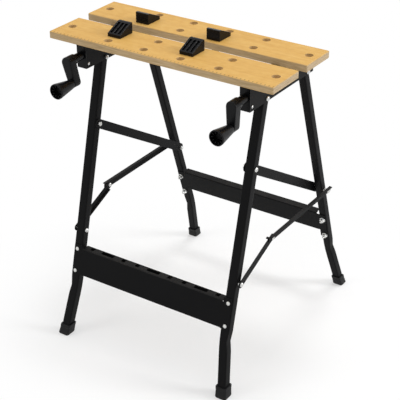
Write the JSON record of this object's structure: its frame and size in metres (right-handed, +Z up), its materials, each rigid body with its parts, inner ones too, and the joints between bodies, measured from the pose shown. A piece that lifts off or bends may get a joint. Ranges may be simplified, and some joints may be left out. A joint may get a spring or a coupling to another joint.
{
  "type": "folding workbench",
  "caption": "Portable folding workbench with two wooden vice jaws, crank-driven screws, braced tubular legs, a slotted tool tray and turning bench dogs.",
  "frame": {"origin": "on the floor, under the middle of the four feet", "axes": "+Z up, +X to the user's right, the user and the cranks at -Y"},
  "size_m": [0.605, 0.6246, 0.8063],
  "materials": {
    "jaw_wood": "sealed board with a warm yellow-brown face and a greyer, drier edge",
    "black_paint": "satin black powder coat on steel tube and sheet",
    "black_plastic": "moulded black plastic, lightly textured",
    "foot_plastic": "soft black moulded boots",
    "zinc_fasteners": "bright zinc plated",
    "bare_steel": "turned steel, lightly oiled"
  },
  "bodies": {
    "rear_frame": {"left_rear_leg": "black_paint", "right_rear_leg": "black_paint", "left_rear_foot": "foot_plastic", "right_rear_foot": "foot_plastic", "rear_crossbar": "black_paint", "left_stay_bolt": "zinc_fasteners", "right_stay_bolt": "zinc_fasteners"},
    "top_frame": {"front_jaw_board": "jaw_wood", "left_vice_rail": "black_paint", "right_vice_rail": "black_paint", "left_front_bush": "black_plastic", "right_front_bush": "black_plastic", "left_rear_bush": "black_plastic", "right_rear_bush": "black_plastic", "left_front_pivot": "zinc_fasteners", "right_front_pivot": "zinc_fasteners", "left_rear_pivot": "zinc_fasteners", "right_rear_pivot": "zinc_fasteners"},
    "front_frame": {"left_front_leg": "black_paint", "right_front_leg": "black_paint", "left_front_foot": "foot_plastic", "right_front_foot": "foot_plastic", "front_tool_tray": "black_paint", "left_brace_bolt": "zinc_fasteners", "right_brace_bolt": "zinc_fasteners", "left_lower_bolt": "zinc_fasteners", "right_lower_bolt": "zinc_fasteners"},
    "rear_jaw": {"rear_jaw_board": "jaw_wood", "left_jaw_nut": "black_plastic", "right_jaw_nut": "black_plastic"},
    "left_brace": {"left_side_brace": "black_paint", "left_brace_nut": "zinc_fasteners"},
    "right_brace": {"right_side_brace": "black_paint", "right_brace_nut": "zinc_fasteners"},
    "left_upper_link": {"left_upper_stay": "black_paint", "left_elbow_rivet": "zinc_fasteners"},
    "right_upper_link": {"right_upper_stay": "black_paint", "right_elbow_rivet": "zinc_fasteners"},
    "left_lower_link": {"left_lower_stay": "black_paint", "left_lower_stay_bolt": "zinc_fasteners"},
    "right_lower_link": {"right_lower_stay": "black_paint", "right_lower_stay_bolt": "zinc_fasteners"},
    "left_crank": {"left_spindle": "bare_steel", "left_crank_arm": "black_plastic", "left_grip_pin": "black_paint"},
    "right_crank": {"right_spindle": "bare_steel", "right_crank_arm": "black_plastic", "right_grip_pin": "black_paint"},
    "left_grip": {"left_crank_grip": "black_plastic"},
    "right_grip": {"right_crank_grip": "black_plastic"},
    "front_left_dog": {"front_left_dog": "black_plastic"},
    "front_right_dog": {"front_right_dog": "black_plastic"},
    "rear_left_dog": {"rear_left_dog": "black_plastic"},
    "rear_right_dog": {"rear_right_dog": "black_plastic"}
  },
  "joints": [
    {"name": "top_fold", "type": "hinge", "parent": "rear_frame", "child": "top_frame", "pos_m": [0, 0.06157, 0.706], "axis": [-1, 0, 0], "range_deg": [0, 58]},
    {"name": "front_leg_fold", "type": "hinge", "parent": "top_frame", "child": "front_frame", "pos_m": [0, -0.12143, 0.706], "axis": [1, 0, 0], "range_deg": [0, 88.92]},
    {"name": "left_brace_fold", "type": "hinge", "parent": "rear_frame", "child": "left_brace", "pos_m": [-0.20995, 0.18469, 0.34016], "axis": [-1, 0, 0], "range_deg": [0, 33.81]},
    {"name": "right_brace_fold", "type": "hinge", "parent": "rear_frame", "child": "right_brace", "pos_m": [0.20995, 0.18469, 0.34016], "axis": [-1, 0, 0], "range_deg": [0, 33.81]},
    {"name": "left_upper_fold", "type": "hinge", "parent": "rear_frame", "child": "left_upper_link", "pos_m": [-0.244, 0.18469, 0.34016], "axis": [-1, 0, 0], "range_deg": [0, 63.88]},
    {"name": "right_upper_fold", "type": "hinge", "parent": "rear_frame", "child": "right_upper_link", "pos_m": [0.244, 0.18469, 0.34016], "axis": [-1, 0, 0], "range_deg": [0, 63.88]},
    {"name": "left_elbow_fold", "type": "hinge", "parent": "left_upper_link", "child": "left_lower_link", "pos_m": [-0.2415, -0.09061, 0.33831], "axis": [1, 0, 0], "range_deg": [0, 142.43]},
    {"name": "right_elbow_fold", "type": "hinge", "parent": "right_upper_link", "child": "right_lower_link", "pos_m": [0.2415, -0.09061, 0.33831], "axis": [1, 0, 0], "range_deg": [0, 142.43]},
    {"name": "left_crank_turn", "type": "hinge", "parent": "top_frame", "child": "left_crank", "pos_m": [-0.2235, -0.23843, 0.731], "axis": [0, -1, 0], "range_deg": [-3060, 5940]},
    {"name": "right_crank_turn", "type": "hinge", "parent": "top_frame", "child": "right_crank", "pos_m": [0.2235, -0.23843, 0.731], "axis": [0, -1, 0], "range_deg": [-3060, 5940]},
    {"name": "rear_jaw_slide", "type": "slide", "parent": "top_frame", "child": "rear_jaw", "axis": [0, 1, 0], "range_m": [-0.034, 0.066]},
    {"name": "left_grip_spin", "type": "hinge", "parent": "left_crank", "child": "left_grip", "pos_m": [-0.20972, -0.28043, 0.68294], "axis": [0, -1, 0], "continuous": true},
    {"name": "right_grip_spin", "type": "hinge", "parent": "right_crank", "child": "right_grip", "pos_m": [0.2235, -0.28043, 0.681], "axis": [0, -1, 0], "continuous": true},
    {"name": "front_left_dog_turn", "type": "hinge", "parent": "top_frame", "child": "front_left_dog", "pos_m": [-0.15, -0.12893, 0.78], "axis": [0, 0, 1], "continuous": true},
    {"name": "front_right_dog_turn", "type": "hinge", "parent": "top_frame", "child": "front_right_dog", "pos_m": [0.05, -0.12893, 0.78], "axis": [0, 0, 1], "continuous": true},
    {"name": "rear_left_dog_turn", "type": "hinge", "parent": "rear_jaw", "child": "rear_left_dog", "pos_m": [-0.15, -0.04093, 0.78], "axis": [0, 0, 1], "continuous": true},
    {"name": "rear_right_dog_turn", "type": "hinge", "parent": "rear_jaw", "child": "rear_right_dog", "pos_m": [0.05, -0.04093, 0.78], "axis": [0, 0, 1], "continuous": true}
  ],
  "couplings": [
    {"joint": "front_leg_fold", "follows": "top_fold", "ratio": 1.533},
    {"joint": "left_brace_fold", "follows": "top_fold", "ratio": 0.5827},
    {"joint": "right_brace_fold", "follows": "top_fold", "ratio": 0.5827},
    {"joint": "left_upper_fold", "follows": "top_fold", "ratio": 1.1012},
    {"joint": "right_upper_fold", "follows": "top_fold", "ratio": 1.1012},
    {"joint": "left_elbow_fold", "follows": "top_fold", "ratio": 2.4556},
    {"joint": "right_elbow_fold", "follows": "top_fold", "ratio": 2.4556},
    {"joint": "right_crank_turn", "follows": "left_crank_turn", "ratio": 1},
    {"joint": "rear_jaw_slide", "follows": "left_crank_turn", "m_per_rad": 0.00063662}
  ]
}
